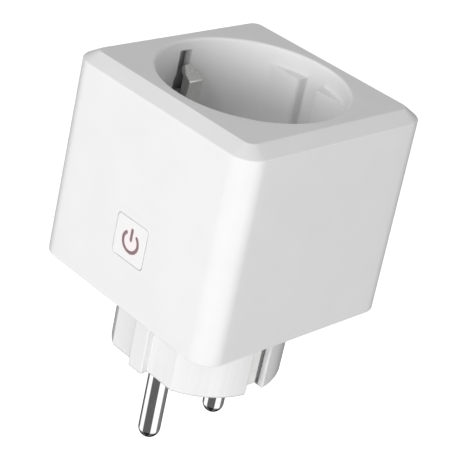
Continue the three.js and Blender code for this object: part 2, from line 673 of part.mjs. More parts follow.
function canCapacitor(x, y, radius, height) {
  const z0 = ON_BOARD;
  return turned(
    [
      [0, z0],
      [radius - 0.4, z0],
      [radius, z0 + 0.4],
      [radius, z0 + 1.2],
      [radius - 0.35, z0 + 1.6],
      [radius, z0 + 2.0],
      [radius, z0 + height - 0.4],
      [radius - 0.4, z0 + height],
      [0, z0 + height],
    ],
    20,
  ).translate([x, y, 0]);
}

function buildBoardPieces() {
  place("relay", moulded(6.6, 20.2, -9.4, 9.4, ON_BOARD, 20.9, 0.7), 0x23272e, 0.45);
  place("film_capacitor", moulded(-20.2, -14.2, -8, 5, ON_BOARD, 18.8, 0.6), 0xc9a227, 0.45);
  place("can_capacitor_large", canCapacitor(-15.6, 11.0, 4.0, 12), 0x1f2a44, 0.35);
  place("can_capacitor_small", canCapacitor(-8.2, 12.4, 3.15, 10), 0x1f2a44, 0.35);

  let choke = rod(3.6, -15.6, -12.9, ON_BOARD, ON_BOARD + 1.4, 16);
  choke = choke.add(rod(2.7, -15.6, -12.9, ON_BOARD, ON_BOARD + 8, 16));
  choke = choke.add(rod(3.6, -15.6, -12.9, ON_BOARD + 6.6, ON_BOARD + 8, 16));
  place("power_choke", choke, 0x2b2a2a, 0.6);

  let varistor = rodY(4.0, -7.7, ON_BOARD + 6.2, -14.6, -11.4, 20);
  for (const x of [-10.0, -5.4]) {
    varistor = varistor.add(block(x - 0.3, x + 0.3, -13.3, -12.7, ON_BOARD, ON_BOARD + 5));
  }
  place("surge_varistor", varistor, 0x2d5fa8, 0.5);

  let resistor = rodY(2.1, -9.0, ON_BOARD + 3.2, -5.2, 5.2, 16);
  resistor = resistor.add(rodY(0.35, -9.0, ON_BOARD + 3.2, -6.8, 6.8, 8));
  for (const y of [-6.6, 6.6]) {
    resistor = resistor.add(rod(0.35, -9.0, y, ON_BOARD, ON_BOARD + 3.4, 8));
  }
  place("fusible_resistor", resistor, 0x5c8a72, 0.6);

  const shuntSpan = [6.6, 13.0];
  let shunt = block(...shuntSpan, -11.7, -10.9, ON_BOARD + 2.0, ON_BOARD + 2.8);
  for (const x of [shuntSpan[0], shuntSpan[1] - 0.8]) {
    shunt = shunt.add(block(x, x + 0.8, -11.7, -10.9, ON_BOARD, ON_BOARD + 2.4));
  }
  place("current_shunt", shunt, COPPER, 0.4, 0.9);

  place("converter_chip", chip(12.6, -15.6, 5.0, 4.0, 4), 0x1c1c1e, 0.5);
  place("metering_chip", chip(10.6, 13.6, 9.9, 4.0, 8), 0x1c1c1e, 0.5);
  place("bridge_rectifier", chip(-11.2, -18.7, 4.6, 3.0, 2), 0x1c1c1e, 0.5);

  place("radio_board", block(-10, 10, 18.4, 19.2, ON_BOARD, 24), 0x1c3f7a, 0.5);
  const can = moulded(-6.5, 6.5, 0, 9, 0, 2, 0.3).rotate([-90, 0, 0]).translate([0, 19.45, 21.5]);
  place("radio_shield", can, STEEL, 0.35, 0.9);
}

// ---- Assembly -----------------------------------------------------------------------------------

buildHousing();
buildWell();
for (const [name, side] of SIDES) {
  buildEarthClip("earth_clip_" + name, side);
  buildEarthBracket("earth_bracket_" + name, side);
  buildScrew("carrier_screw_" + name, side * BOSS_X, 0, CARRIER_Z - GAP, 4.5, 1);
}
buildEarthBridge();
buildShutter();
buildCarrier();
buildShutterSpring();
buildOutletContact("outlet_contact_line", -1);
buildOutletContact("outlet_contact_neutral", 1);
buildPlugBase();
buildPin("pin_line", -1);
buildPin("pin_neutral", 1);
buildButton();
buildKeySwitch();
buildMainBoard();
buildBusbars();
buildBoardPieces();

export default root;
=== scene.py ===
"""Smart plug: fine visible surfaces, materials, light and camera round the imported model.

Metres, +Z from the wall towards the outlet opening, the button on -Y, the pins along Y.
"""
import json
import math

import bmesh
import bpy
from mathutils import Matrix, Vector


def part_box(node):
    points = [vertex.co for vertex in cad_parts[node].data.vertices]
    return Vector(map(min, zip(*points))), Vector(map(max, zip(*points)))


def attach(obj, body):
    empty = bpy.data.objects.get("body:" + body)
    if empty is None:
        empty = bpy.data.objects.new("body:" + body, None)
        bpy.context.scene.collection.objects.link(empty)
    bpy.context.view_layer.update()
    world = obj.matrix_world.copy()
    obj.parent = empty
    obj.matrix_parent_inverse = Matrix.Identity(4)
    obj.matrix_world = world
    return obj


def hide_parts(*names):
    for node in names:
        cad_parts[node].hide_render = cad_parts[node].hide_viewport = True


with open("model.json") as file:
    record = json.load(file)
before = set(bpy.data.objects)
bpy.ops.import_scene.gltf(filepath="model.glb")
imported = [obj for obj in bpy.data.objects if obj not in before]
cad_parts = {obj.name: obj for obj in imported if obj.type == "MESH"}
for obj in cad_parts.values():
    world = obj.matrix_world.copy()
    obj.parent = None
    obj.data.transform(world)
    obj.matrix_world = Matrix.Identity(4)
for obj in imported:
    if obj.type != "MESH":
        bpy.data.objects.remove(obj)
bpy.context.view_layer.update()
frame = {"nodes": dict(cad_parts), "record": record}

scene = bpy.context.scene
MM = 0.001

# ---- Sizes ---------------------------------------------------------------------------------------

well_low, well_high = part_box("outlet_well")
pin_low, pin_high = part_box("pin_neutral")

# Housing: a drafted square sleeve with a bevelled top edge.
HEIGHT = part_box("outer_housing")[1].z
TOP_HALF = 25.0 * MM  # half the side at the lower edge of the bevel
BASE_HALF = 25.64 * MM
CORNER = 4.8 * MM
BEVEL_INSET = 3.0 * MM
BEVEL_DROP = 2.0 * MM
BEVEL_Z = HEIGHT - BEVEL_DROP
BASE_EDGE = 0.12 * MM
BEVEL_FILLETS = (0.35 * MM, 0.3 * MM)  # at the bevel's lower and upper edges
WALL = 2.0 * MM
INNER_CORNER = CORNER - WALL * 0.8
TOP_PLATE = 2.1 * MM
RIM_FILLET = 0.6 * MM
RIM_FLAT = 1.2 * MM  # from the rim to where the top face changes from square to round loops

# Outlet well.
WELL_RADIUS = 19.4 * MM
WELL_OUTER = well_high.x
FLOOR_Z = HEIGHT - 17.5 * MM
SLOT_LOW_Z = FLOOR_Z + 0.3 * MM
UNDER_FLOOR_Z = FLOOR_Z - 1.6 * MM
LAND_FACE = 16.3 * MM
LAND_Z = HEIGHT - 3.9 * MM
LAND_FILLET = 0.15 * MM
LEDGE_FILLET = 0.6 * MM  # where the ledge meets the wall
FLOOR_FILLET = 0.6 * MM
GROOVE_HALF = 2.45 * MM
GROOVE_FILLETS = (0.9 * MM, 0.5 * MM)  # at the groove's edge and at its floor
SLOT_HALF = 1.66 * MM
SLOT_HALF_LOW = 2.2 * MM
SLOT_STEP_Z = HEIGHT - 8.0 * MM
SLOT_STEP_REACH = 0.3 * MM  # the slot narrows over this height above and below the step
SLOT_TOP_Z = HEIGHT - 2.3 * MM
SLOT_CORNER = 0.2 * MM
BOSS_X = 14.3 * MM
BOSS_RADIUS = 2.4 * MM
SCREW_HOLE = 1.0 * MM

# Outlet earth clip.
CLIP_BELLY = Vector((14.95 * MM, HEIGHT - 7.35 * MM))  # distance from the axis, and height
CLIP_TIP_RISE = 2.5 * MM  # from the belly to the tip
CLIP_HALF = 1.85 * MM
CLIP_TIP_HALF = 0.87 * MM
CLIP_TAPER_RISE = 1.2 * MM  # from the belly to where it starts to narrow
CLIP_EDGE = 0.12 * MM

# Plug body.
PLUG_RADIUS = 18.3 * MM
PLUG_LENGTH = 18.2 * MM
PLUG_EDGE = 0.8 * MM
PLUG_FLAT = 15.75 * MM
RIB_HALF = 2.1 * MM
RIB_FACE = 17.6 * MM
NOTCH_HALF = 2.35 * MM
NOTCH_FLOOR = 15.6 * MM
PLUG_END_WALL = 3.0 * MM
PLUG_BORE = 13.4 * MM
PLUG_CONVEX = 0.35 * MM  # rounding of the outline's outer corners
PLUG_CONCAVE = 0.2 * MM
FLANGE_THICK = 2.3 * MM
FLANGE_GAP = 0.12 * MM  # between the flange and the housing's wall
POST_AT = 18.0 * MM
POST_RADIUS = 2.5 * MM
POST_TOP = 5.7 * MM
PEG_RADIUS = 0.9 * MM
PEG_TOP = 8.2 * MM
STRIP_X = 15.9 * MM  # inner face of the earth strip in the notch
STRIP_HALF = 1.6 * MM
STRIP_THICK = 0.6 * MM
STRIP_END = -PLUG_LENGTH + 1.0 * MM
STRIP_EDGE = 0.1 * MM

# Pins.
PIN_Y = (pin_low.y + pin_high.y) / 2
PIN_RADIUS = 2.4 * MM
PIN_TIP_Z = pin_low.z
PIN_SHOULDER_RADIUS = 3.4 * MM
PIN_SHOULDER_Z = -PLUG_LENGTH + PLUG_END_WALL + 0.3 * MM
PIN_SHOULDER_THICK = 1.3 * MM
PIN_NECK_RADIUS = 1.9 * MM
PIN_TAIL_RADIUS = 1.2 * MM
PIN_TAIL_Z = 3.0 * MM

# Button, drawn in the plane of the drafted -Y wall.
BUTTON_HALF = 4.4 * MM
BUTTON_CORNER = 0.7 * MM
BUTTON_GAP = 0.12 * MM  # between the cap and its window
BUTTON_PROUD = 0.1 * MM
BUTTON_EDGE = 0.08 * MM
BUTTON_SHIFT = Vector((0.05, 0.06, 0)) * MM  # the cap's play in its window: along X and up
BUTTON_Z = 14.8 * MM
BUTTON_SIDE_WALL = 0.8 * MM
BUTTON_FLANGE = 0.9 * MM  # the flange behind the window reaches this far past the cap
BUTTON_FLANGE_FRONT = -2.4 * MM
BUTTON_BACK = -3.1 * MM
WINDOW_EDGE = 0.05 * MM
SKIN = 1.1 * MM
SYMBOL_RADIUS = 2.15 * MM
SYMBOL_HALF = 0.35 * MM  # half the stroke's width
SYMBOL_GAP = 0.02 * MM  # between the light guide and the cap
SYMBOL_DROP = 0.15 * MM  # the ring's centre is this far below the button's
SYMBOL_BAR_TOP = 2.97 * MM
SYMBOL_BAR_START = 0.1 * MM
SYMBOL_OPENING = math.radians(44)  # half the angle left open at the top
SYMBOL_X = 0.2 * MM  # the symbol stands this far beside the cap's centre

HAIRLINE = 0.002 * MM
BIG = 80 * MM  # past the whole part
# The loft lines that start in a notch take this share of the angle up to its outer corner.
NOTCH_SHARE = 0.7


def half_side(z):
    """Half the housing's side at a height, with its draft."""
    return TOP_HALF + (BASE_HALF - TOP_HALF) * (BEVEL_Z - min(z, BEVEL_Z)) / BEVEL_Z


WALL_TILT = math.atan((BASE_HALF - TOP_HALF) / BEVEL_Z)
# Columns: along X, up the wall, out of the wall, and the button's centre on the wall's surface.
BUTTON_FRAME = Matrix.Translation((0, -half_side(BUTTON_Z), BUTTON_Z)) @ Matrix.Rotation(
    math.pi / 2 - WALL_TILT, 4, "X"
)

# The cap's own frame: the window's, moved by the cap's play.
CAP_FRAME = BUTTON_FRAME @ Matrix.Translation(BUTTON_SHIFT)

# ---- Outlines ------------------------------------------------------------------------------------


def arc(radius, start, end, steps, centre=(0, 0)):
    """Points along an arc, both ends included."""
    points = []
    for i in range(steps + 1):
        angle = start + (end - start) * i / steps
        points.append((centre[0] + radius * math.cos(angle), centre[1] + radius * math.sin(angle)))
    return points


def quarter_turns(steps):
    """Angles from 0 to a right angle, both included."""
    return [step / steps * math.pi / 2 for step in range(steps + 1)]


def line(start, end, steps):
    """Points along a straight line, without its first."""
    return [tuple(Vector(start).lerp(Vector(end), i / steps)) for i in range(1, steps + 1)]


def softened(points, radii, steps=6):
    """An open line of 2-D points whose inner corners are rounded, one radius for each."""
    out = [tuple(points[0])]
    for i, radius in enumerate(radii, start=1):
        before, here, after = (Vector(points[k]) for k in (i - 1, i, i + 1))
        to_before = (before - here).normalized()
        to_after = (after - here).normalized()
        half_angle = to_before.angle(to_after) / 2
        centre = here + (to_before + to_after).normalized() * (radius / math.sin(half_angle))
        reach = radius / math.tan(half_angle)
        first = here + to_before * reach - centre
        last = here + to_after * reach - centre
        sweep = first.angle(last)
        for k in range(steps + 1):
            t = k / steps
            spoke = first * math.sin((1 - t) * sweep) + last * math.sin(t * sweep)
            out.append(tuple(centre + spoke / math.sin(sweep)))
    out.append(tuple(points[-1]))
    return out


def softened_loop(points, radii, steps=4):
    """A closed line of 2-D points with every corner rounded."""
    closed = [points[-1], *points, points[0]]
    return softened(closed, radii, steps)[1:-1]


def rounded_square(half, radius, corner_steps=12, edge_steps=24):
    """Outline of a rounded square, counter-clockwise from its +X edge."""
    reach = half - radius
    outline = []
    for quarter in range(4):
        turn = quarter * math.pi / 2
        middle = turn + math.pi / 4
        centre = (math.copysign(reach, math.cos(middle)), math.copysign(reach, math.sin(middle)))
        corner = arc(radius, turn, turn + math.pi / 2, corner_steps, centre)
        turned_on = (-corner[0][1], corner[0][0])
        outline += corner + line(corner[-1], turned_on, edge_steps)[:-1]
    return outline


def mirrored_quarters(quarter):
    """A closed outline from its first quarter, which runs from the X axis to the Y axis."""
    half = quarter + [(-x, y) for x, y in reversed(quarter[:-1])]
    return half[:-1] + [(-x, -y) for x, y in half[:-1]]


def unfolded(outline):
    """The directions of a mirrored outline, kept in order where a notch at +-X turns back."""
    quarter = outline[: len(outline) // 4 + 1]
    angles = [math.atan2(y, x) for x, y in quarter]
    notch_end = max(i for i in range(1, len(angles)) if angles[i] < angles[i - 1])
    for i in range(notch_end):
        angles[i] = NOTCH_SHARE * angles[notch_end] * i / notch_end
    return mirrored_quarters([(math.cos(angle), math.sin(angle)) for angle in angles])


def at_radius(outline, radius):
    """The outline's directions on a circle."""
    return [tuple(Vector(p).normalized() * radius) for p in outline]


def on_square(outline, half, radius):
    """The outline's directions on a rounded square."""
    out = []
    reach = half - radius
    for p in outline:
        direction = Vector(p).normalized()
        hit = direction * (half / max(abs(direction.x), abs(direction.y)))
        if abs(hit.x) > reach and abs(hit.y) > reach:
            centre = Vector((math.copysign(reach, hit.x), math.copysign(reach, hit.y)))
            along = direction.dot(centre)
            hit = direction * (along + math.sqrt(along**2 - centre.length_squared + radius**2))
        out.append(tuple(hit))
    return out


def level(outline, z):
    """The outline as a loop at a height."""
    return [Vector((x, y, z)) for x, y in outline]


# ---- Meshes --------------------------------------------------------------------------------------


def make_mesh(name, points, faces):
    mesh = bpy.data.meshes.new(name)
    mesh.from_pydata([tuple(p) for p in points], [], faces)
    work = bmesh.new()
    work.from_mesh(mesh)
    bmesh.ops.remove_doubles(work, verts=work.verts, dist=1e-8)
    bmesh.ops.dissolve_degenerate(work, edges=work.edges, dist=1e-8)
    bmesh.ops.recalc_face_normals(work, faces=work.faces)
    work.to_mesh(mesh)
    work.free()
    obj = bpy.data.objects.new(name, mesh)
    scene.collection.objects.link(obj)
    return obj


def loft(name, loops, ring=False):
    """Closed surface through loops of equally many points. A ring joins the last loop to the first."""
    count = len(loops[0])
    faces = []
    for i in range(len(loops) if ring else len(loops) - 1):
        a = i * count
        b = (i + 1) % len(loops) * count
        for k in range(count):
            m = (k + 1) % count
            faces.append((a + k, a + m, b + m, b + k))
    if not ring:
        last = (len(loops) - 1) * count
        faces.append(tuple(reversed(range(count))))
        faces.append(tuple(last + k for k in range(count)))
    return make_mesh(name, [p for loop in loops for p in loop], faces)


def turned(name, profile, segments=64, x=0, y=0):
    """Solid turned round an upright axis, from a profile of (radius, height) pairs."""
    loops = []
    for radius, z in profile:
        circle = arc(max(radius, 1e-7), 0, 2 * math.pi, segments)[:-1]
        loops.append([Vector((x + px, y + py, z)) for px, py in circle])
    return loft(name, loops)


def prism(name, outline, near, far, place):
    """Straight solid of an outline between two depths; place makes a point of (a, b, depth)."""
    return loft(name, [[place(a, b, depth) for a, b in outline] for depth in (near, far)])


def block(name, low, high):
    (x0, y0, z0), (x1, y1, z1) = low, high
    outline = [(x0, y0), (x1, y0), (x1, y1), (x0, y1)]
    return loft(name, [level(outline, z0), level(outline, z1)])


def in_button_frame(outline, out, frame_of=CAP_FRAME):
    """A loop in the plane of the -Y wall, raised out of it."""
    return [frame_of @ Vector((x, y, out)) for x, y in outline]


def apply_modifiers(obj):
    bpy.context.view_layer.update()
    graph = bpy.context.evaluated_depsgraph_get()
    mesh = bpy.data.meshes.new_from_object(obj.evaluated_get(graph))
    old = obj.data
    obj.modifiers.clear()
    obj.data = mesh
    mesh.name = obj.name
    bpy.data.meshes.remove(old)


def boolean(obj, tools, operation):
    """Cuts or joins solids, and removes the tools."""
    for tool in tools:
        modifier = obj.modifiers.new("boolean", "BOOLEAN")
        modifier.operation = operation
        modifier.solver = "MANIFOLD"
        modifier.object = tool
        apply_modifiers(obj)
        bpy.data.objects.remove(tool)
    return obj


def cut(obj, *tools):
    return boolean(obj, tools, "DIFFERENCE")


def join(obj, *tools):
    return boolean(obj, tools, "UNION")


def smooth(obj, sharp_degrees=35, bevel=0.0):
    """Smooth shading with crisp edges, flats kept flat, and small rounded edges if asked for."""
    obj.data.shade_smooth()
    obj.data.set_sharp_from_angle(angle=math.radians(sharp_degrees))
    if bevel:
        rounding = obj.modifiers.new("edges", "BEVEL")
        rounding.width = bevel
        rounding.segments = 3
        rounding.limit_method = "ANGLE"
        rounding.angle_limit = math.radians(sharp_degrees)
        rounding.harden_normals = False
    normals = obj.modifiers.new("normals", "WEIGHTED_NORMAL")
    normals.keep_sharp = not bevel
    normals.weight = 80
    return obj


def finish_piece(obj, body, material, nodes):
    """Gives a new piece its material, its body and the CAD nodes that it stands for."""
    obj.data.materials.clear()
    obj.data.materials.append(material)
    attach(obj, body)
    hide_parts(*nodes)


# ---- Materials -----------------------------------------------------------------------------------


class Surface:
    """A material under construction: its shader and short ways to add texture nodes."""

    def __init__(self, name, colour, roughness, metallic=0.0):
        self.material = bpy.data.materials.new(name)
        self.material.use_nodes = True
        self.nodes = self.material.node_tree.nodes
        self.links = self.material.node_tree.links
        self.shader = self.nodes["Principled BSDF"]
        self.colour = colour
        self.shader.inputs["Base Color"].default_value = (*colour, 1)
        self.shader.inputs["Roughness"].default_value = roughness
        self.shader.inputs["Metallic"].default_value = metallic
        self.coordinates = self.nodes.new("ShaderNodeTexCoord")
        self.last_bump = None

    def noise(self, size, stretch=(1, 1, 1), detail=3.0):
        """Noise whose features are about this many metres across, stretched along the axes."""
        mapping = self.nodes.new("ShaderNodeMapping")
        mapping.inputs["Scale"].default_value = [1 / (size * s) for s in stretch]
        self.links.new(self.coordinates.outputs["Object"], mapping.inputs["Vector"])
        noise = self.nodes.new("ShaderNodeTexNoise")
        noise.inputs["Scale"].default_value = 1.0
        noise.inputs["Detail"].default_value = detail
        self.links.new(mapping.outputs["Vector"], noise.inputs["Vector"])
        return noise.outputs["Fac"]

    def spread(self, value, low, high, start=0.3, end=0.7):
        """The value's usual range brought to low..high."""
        ranged = self.nodes.new("ShaderNodeMapRange")
        ranged.inputs["From Min"].default_value = start
        ranged.inputs["From Max"].default_value = end
        ranged.inputs["To Min"].default_value = low
        ranged.inputs["To Max"].default_value = high
        self.links.new(value, ranged.inputs["Value"])
        return ranged.outputs["Result"]

    def mix_colours(self, factor, first, second):
        mix = self.nodes.new("ShaderNodeMix")
        mix.data_type = "RGBA"
        self.links.new(factor, mix.inputs["Factor"])
        for socket, colour in ((mix.inputs["A"], first), (mix.inputs["B"], second)):
            if isinstance(colour, tuple):
                socket.default_value = (*colour, 1)
            else:
                self.links.new(colour, socket)
        return mix.outputs["Result"]

    def tint(self, value, second):
        """Base colour that runs from the material's own to a second one."""
        result = self.mix_colours(value, self.colour, second)
        self.links.new(result, self.shader.inputs["Base Color"])
        return result

    def vary_roughness(self, value, low, high):
        self.links.new(self.spread(value, low, high), self.shader.inputs["Roughness"])

    def relief(self, value, depth, strength=1.0):
        """Bump of a real depth in metres; calls add up."""
        bump = self.nodes.new("ShaderNodeBump")
        bump.inputs["Strength"].default_value = strength
        bump.inputs["Distance"].default_value = depth
        self.links.new(value, bump.inputs["Height"])
        if self.last_bump:
            self.links.new(self.last_bump.outputs["Normal"], bump.inputs["Normal"])
        self.last_bump = bump
        self.links.new(bump.outputs["Normal"], self.shader.inputs["Normal"])

    def coat(self, weight, roughness, ior=1.5):
        self.shader.inputs["Coat Weight"].default_value = weight
        self.shader.inputs["Coat Roughness"].default_value = roughness
        self.shader.inputs["Coat IOR"].default_value = ior


def shade(colour, factor):
    return tuple(c * factor for c in colour)


def moulded_plastic(name, colour, roughness, grain=0.22 * MM, depth=0.002 * MM, streaks=0.0):
    """Injection-moulded plastic: fine spark-eroded grain, faint flow marks, slightly uneven gloss.

    Streaks are darker marks drawn along Z, as a share of the colour.
    """
    s = Surface(name, colour, roughness)
    cloud = s.noise(9 * MM, detail=2.0)
    clouded = s.tint(s.spread(cloud, 0.0, 1.0), shade(colour, 0.975))
    if streaks:
        draw_marks = s.noise(0.8 * MM, stretch=(1, 1, 30), detail=3.0)
        marked = s.mix_colours(s.spread(draw_marks, 0.0, 1.0), clouded, shade(colour, 1 - streaks))
        s.links.new(marked, s.shader.inputs["Base Color"])
    s.vary_roughness(s.noise(1.6 * MM), roughness - 0.03, roughness + 0.04)
    s.relief(s.noise(grain, detail=2.0), depth)
    s.relief(s.noise(6 * MM, stretch=(1, 1, 2.5), detail=1.0), 0.004 * MM, 0.6)
    return s.material


def drawn_metal(name, colour, roughness, stretch=(1, 1, 1), depth=0.0015 * MM, metallic=1.0):
    """Plated or drawn metal: fine scratches along one direction and patchy brightness."""
    s = Surface(name, colour, roughness, metallic)
    lines = s.noise(0.12 * MM, stretch=stretch, detail=4.0)
    patches = s.noise(2.5 * MM, detail=3.0)
    s.tint(s.spread(patches, 0.0, 1.0), shade(colour, 0.9))
    s.vary_roughness(lines, roughness * 0.75, roughness * 1.3)
    s.relief(lines, depth)
    return s.material


def circuit_board(name, colour):
    """Solder-masked laminate: the raised copper shows as paler runs under the mask."""
    s = Surface(name, colour, 0.4)
    weave = s.noise(0.5 * MM, detail=2.0)
    mapping = s.nodes.new("ShaderNodeMapping")
    mapping.inputs["Scale"].default_value = (1 / (6 * MM),) * 3
    s.links.new(s.coordinates.outputs["Object"], mapping.inputs["Vector"])
    runs = s.nodes.new("ShaderNodeTexVoronoi")
    runs.distance = "CHEBYCHEV"
    runs.feature = "F1"
    s.links.new(mapping.outputs["Vector"], runs.inputs["Vector"])
    copper = s.spread(runs.outputs["Distance"], 0.0, 1.0, 0.32, 0.36)
    s.tint(copper, tuple(min(1.0, c * 1.7 + 0.02) for c in colour))
    s.vary_roughness(weave, 0.34, 0.46)
    s.relief(copper, 0.03 * MM, 0.7)
    s.relief(weave, 0.004 * MM)
    return s.material


def dipped(name, colour, roughness):
    """Epoxy dip or ceramic coat: soft waves and small pits."""
    s = Surface(name, colour, roughness)
    s.tint(s.spread(s.noise(1.5 * MM), 0.0, 1.0), shade(colour, 0.8))
    s.vary_roughness(s.noise(0.6 * MM), roughness - 0.06, roughness + 0.08)
    s.relief(s.noise(0.8 * MM, detail=4.0), 0.03 * MM, 0.8)
    return s.material


def smoky_light_guide():
    """Smoky translucent light guide, faintly lit in red from behind."""
    s = Surface("smoky_light_guide", (0.17, 0.115, 0.125), 0.3)
    s.tint(s.spread(s.noise(0.7 * MM), 0.0, 1.0), (0.22, 0.145, 0.155))
    s.vary_roughness(s.noise(0.3 * MM), 0.26, 0.38)
    s.shader.inputs["Emission Color"].default_value = (1.0, 0.12, 0.1, 1)
    s.shader.inputs["Emission Strength"].default_value = 0.012
    s.relief(s.noise(0.2 * MM), 0.002 * MM)
    return s.material


def button_cap_plastic():
    """Glossy cap whose colour turns faintly red close round the symbol: a painted glow of the lit symbol's
    light.
    """
    colour = (0.79, 0.79, 0.795)
    s = Surface("button_cap_plastic", colour, 0.2)
    distance = s.nodes.new("ShaderNodeVectorMath")
    distance.operation = "DISTANCE"
    s.links.new(s.coordinates.outputs["Object"], distance.inputs[0])
    distance.inputs[1].default_value = CAP_FRAME @ Vector((SYMBOL_X, -SYMBOL_DROP, 0))
    # Painted glow: the base colour is reddened within a few millimetres of the symbol, in place of its light
    # falling on the cap.
    full_glow, no_glow = 2.0 * MM, 3.6 * MM
    glow = s.spread(distance.outputs["Value"], 1.0, 0.0, full_glow, no_glow)
    cloud = s.spread(s.noise(9 * MM, detail=2.0), 0.0, 1.0)
    clouded = s.mix_colours(cloud, colour, shade(colour, 0.985))
    painted_glow_red = (0.84, 0.76, 0.765)
    glow_painted_colour = s.mix_colours(glow, clouded, painted_glow_red)
    s.links.new(glow_painted_colour, s.shader.inputs["Base Color"])
    s.vary_roughness(s.noise(1.6 * MM), 0.17, 0.24)
    s.relief(s.noise(0.22 * MM, detail=2.0), 0.001 * MM)
    s.coat(0.3, 0.08)
    return s.material


WHITE = (0.78, 0.78, 0.78)
NICKEL = (0.72, 0.715, 0.7)
MATERIALS = {
    "white_plastic": moulded_plastic("white_plastic", WHITE, 0.34),
    "button_white": button_cap_plastic(),
    "symbol_smoke": smoky_light_guide(),
    "inner_plastic": moulded_plastic("inner_plastic", (0.7, 0.69, 0.64), 0.55, depth=0.004 * MM),
    "nickel": drawn_metal("nickel", NICKEL, 0.3, stretch=(1, 1, 12), depth=0.0004 * MM),
    "brass": drawn_metal("brass", (0.61, 0.40, 0.12), 0.32, stretch=(8, 1, 8)),
    "copper": drawn_metal("copper", (0.52, 0.2, 0.09), 0.36, stretch=(10, 1, 1)),
    "steel": drawn_metal("steel", (0.5, 0.51, 0.52), 0.38),
    "board_green": circuit_board("board_green", (0.02, 0.15, 0.055)),
    "board_blue": circuit_board("board_blue", (0.015, 0.06, 0.2)),
    "case_black": moulded_plastic("case_black", (0.02, 0.021, 0.024), 0.5, depth=0.006 * MM),
    "case_ochre": moulded_plastic("case_ochre", (0.6, 0.36, 0.03), 0.45, depth=0.004 * MM),
    "sleeve_navy": moulded_plastic("sleeve_navy", (0.018, 0.028, 0.07), 0.3, grain=0.8 * MM),
    "disc_blue": dipped("disc_blue", (0.035, 0.13, 0.4), 0.4),
    "resistor_green": dipped("resistor_green", (0.11, 0.25, 0.17), 0.55),
    "key_red": moulded_plastic("key_red", (0.3, 0.035, 0.025), 0.45),
    "light_lens": moulded_plastic("light_lens", (0.85, 0.84, 0.74), 0.2, depth=0.001 * MM),
}

# More finishes, for pieces that look different from the rest of their slot.
earth_tin = drawn_metal("earth_tin", (0.94, 0.94, 0.93), 0.42, stretch=(1, 1, 12), metallic=0.05)
pin_chrome = drawn_metal("pin_chrome", (0.86, 0.86, 0.855), 0.07, stretch=(14, 14, 1), depth=0.0003 * MM)
# Painted shade: a darker metal for the earth clip's sides, which lie in shadow inside the well.
painted_shade_sides = drawn_metal("painted_shade_sides", (0.42, 0.42, 0.42), 0.5, stretch=(1, 1, 6), metallic=0.8)
plug_plastic = moulded_plastic("plug_plastic", WHITE, 0.15, depth=0.0008 * MM, streaks=0.05)

# ---- Housing -------------------------------------------------------------------------------------


def housing_loop(half, z):
    inset = half_side(z) - half
    return level(rounded_square(half, CORNER - inset), z)


def build_housing():
    top_half = TOP_HALF - BEVEL_INSET
    outside = softened(
        [
            (half_side(0) - BASE_EDGE, 0),
            (half_side(BASE_EDGE), BASE_EDGE),
            (TOP_HALF, BEVEL_Z),
            (top_half, HEIGHT),
            (top_half - 1.0 * MM, HEIGHT),
        ],
        [BASE_EDGE, *BEVEL_FILLETS],
    )
    loops = [housing_loop(half, z) for half, z in outside]
    directions = rounded_square(TOP_HALF, CORNER)
    rim = softened(
        [(WELL_RADIUS + RIM_FLAT, HEIGHT), (WELL_RADIUS, HEIGHT), (WELL_RADIUS, HEIGHT - TOP_PLATE)],
        [RIM_FILLET],
    )
    loops += [level(at_radius(directions, radius), z) for radius, z in rim]
    for z in (HEIGHT - TOP_PLATE, 0):
        loops.append(level(rounded_square(half_side(z) - WALL, INNER_CORNER), z))
    housing = loft("housing_shell", loops, ring=True)

    # The window goes through the wall and widens at 45 degrees from just below its surface.
    window = BUTTON_HALF + BUTTON_GAP
    depth, flare = 6 * MM, 1 * MM
    window_loops = []
    for half, out in ((window, -depth), (window, -WINDOW_EDGE), (window + flare, flare - WINDOW_EDGE)):
        outline = rounded_square(half, BUTTON_CORNER + half - BUTTON_HALF, 6, 1)
        window_loops.append(in_button_frame(outline, out, BUTTON_FRAME))
    return smooth(cut(housing, loft("button_opening", window_loops)), 30)


# ---- Outlet well ---------------------------------------------------------------------------------


def well_outline():
    """Inside of the well below the lands' tops: a circle with four lands, and grooves between them."""
    land_angle = math.asin(LAND_FACE / WELL_RADIUS)
    land_x = WELL_RADIUS * math.cos(land_angle)
    groove_y = math.sqrt(WELL_RADIUS**2 - GROOVE_HALF**2)
    corners = [(land_x, LAND_FACE), (GROOVE_HALF, LAND_FACE), (GROOVE_HALF, groove_y), (0, WELL_RADIUS)]
    corner = softened(corners, GROOVE_FILLETS)
    quarter = arc(WELL_RADIUS, 0, land_angle, 30)
    quarter += line(quarter[-1], corner[1], 12)
    quarter += corner[2:]
    return mirrored_quarters(quarter)


def slot_outline():
    """Clip slot, wide low down and narrower above a step, as (Y, Z) points."""
    step_low, step_high = SLOT_STEP_Z - SLOT_STEP_REACH, SLOT_STEP_Z + SLOT_STEP_REACH
    points = [
        (-SLOT_HALF_LOW, SLOT_LOW_Z),
        (SLOT_HALF_LOW, SLOT_LOW_Z),
        (SLOT_HALF_LOW, step_low),
        (SLOT_HALF, step_high),
        (SLOT_HALF, SLOT_TOP_Z),
        (-SLOT_HALF, SLOT_TOP_Z),
        (-SLOT_HALF, step_high),
        (-SLOT_HALF_LOW, step_low),
    ]
    return softened_loop(points, [SLOT_CORNER] * len(points))


